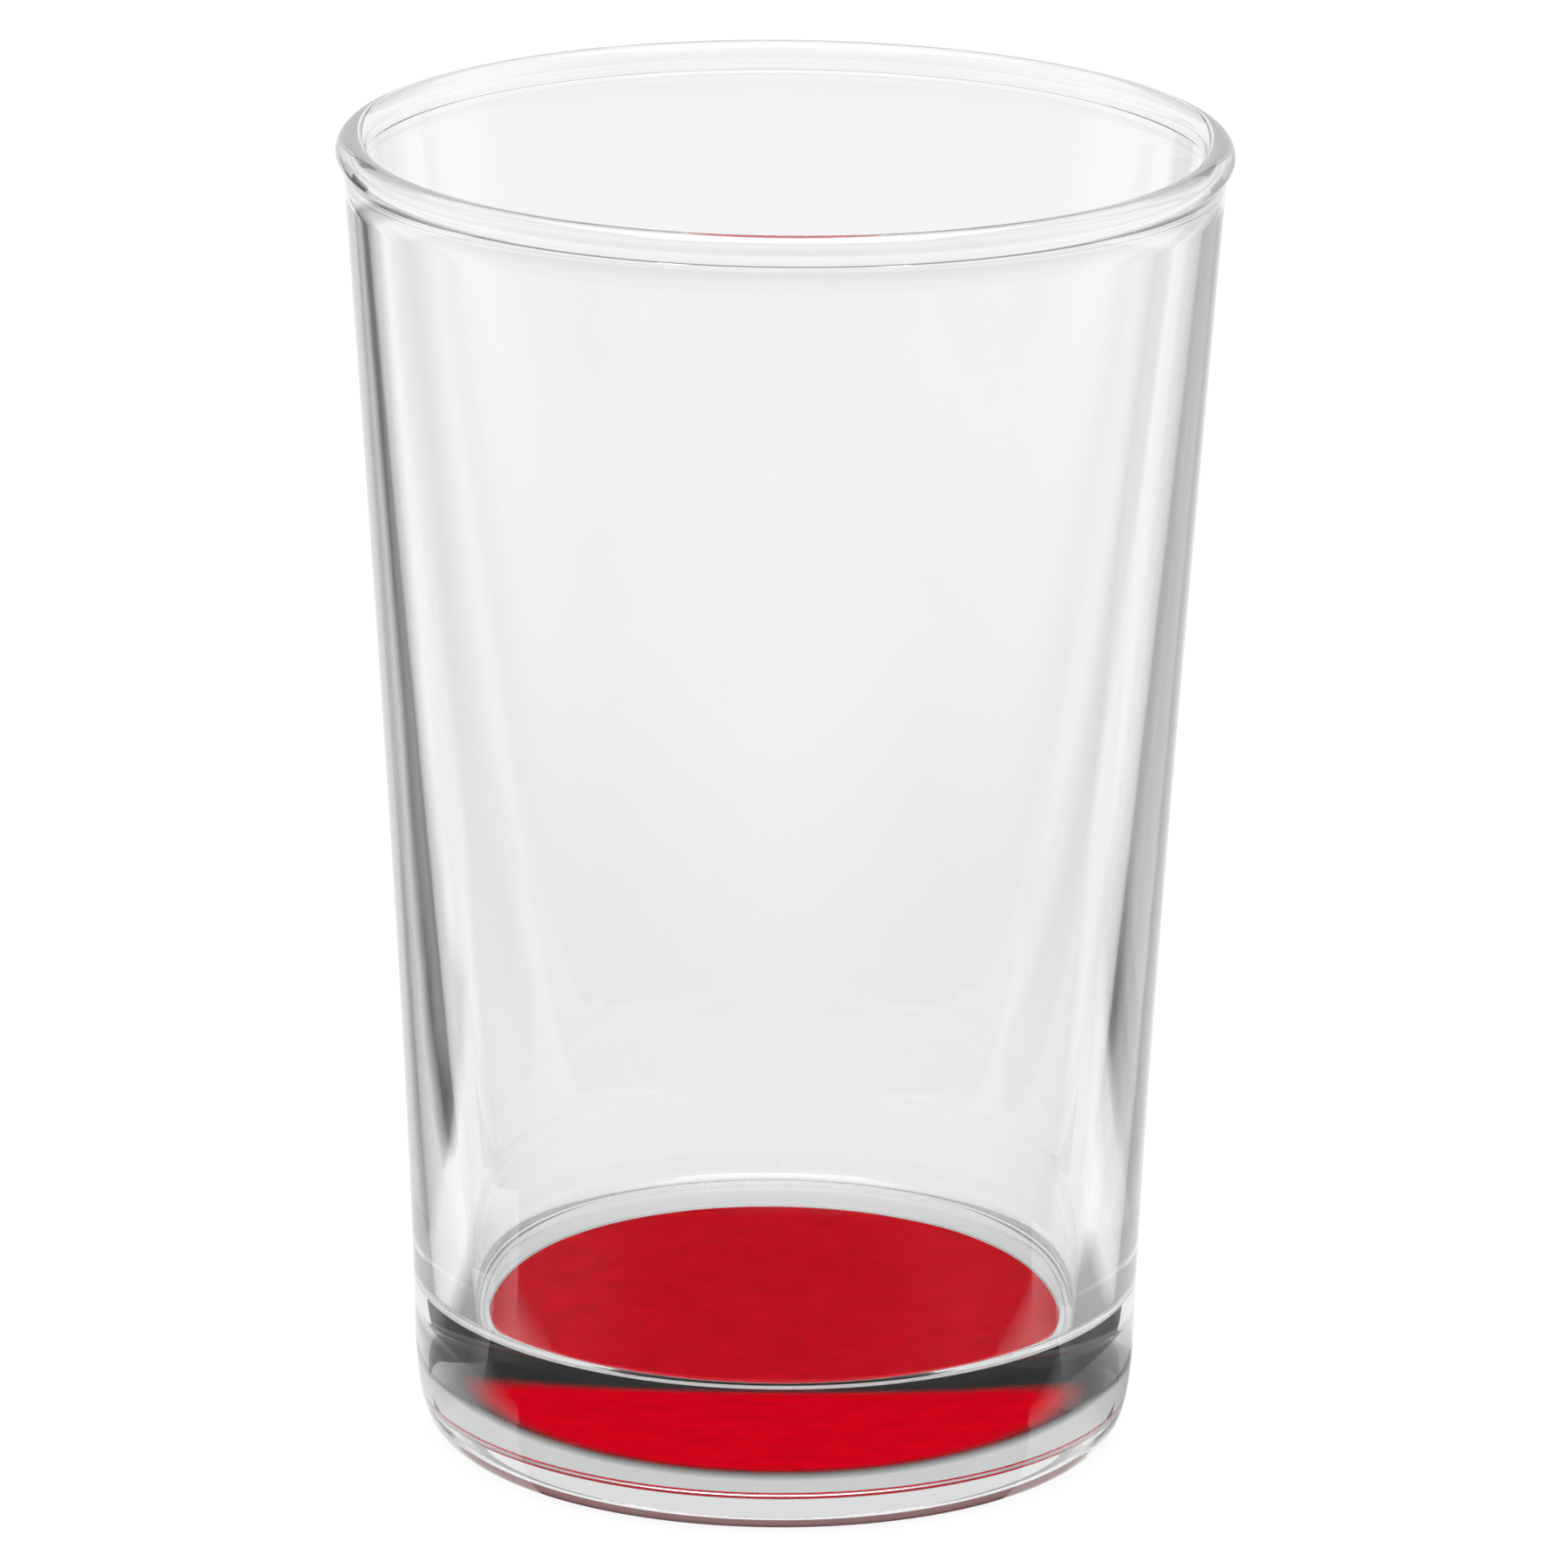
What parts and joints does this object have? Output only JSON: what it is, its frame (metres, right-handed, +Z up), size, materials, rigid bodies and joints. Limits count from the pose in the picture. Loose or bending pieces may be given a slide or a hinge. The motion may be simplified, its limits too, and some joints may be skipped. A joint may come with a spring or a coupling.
{
  "type": "tasting glass",
  "caption": "Small tapered clear-glass tumbler for tasting, with a round rim bead, a heavy base and a red colour coat under the base.",
  "frame": {"origin": "middle of the standing ring, on the surface that the glass stands on", "axes": "+Z up along the glass's axis of revolution; the glass looks the same from every side"},
  "size_m": [0.06, 0.06, 0.0904],
  "materials": {
    "clear_glass": "clear pressed soda-lime glass, fire-polished rim",
    "red_coat": "smooth red lacquer, seen through the glass"
  },
  "bodies": {
    "root": {"glass_tumbler": "clear_glass", "base_colour_coat": "red_coat"}
  },
  "joints": []
}
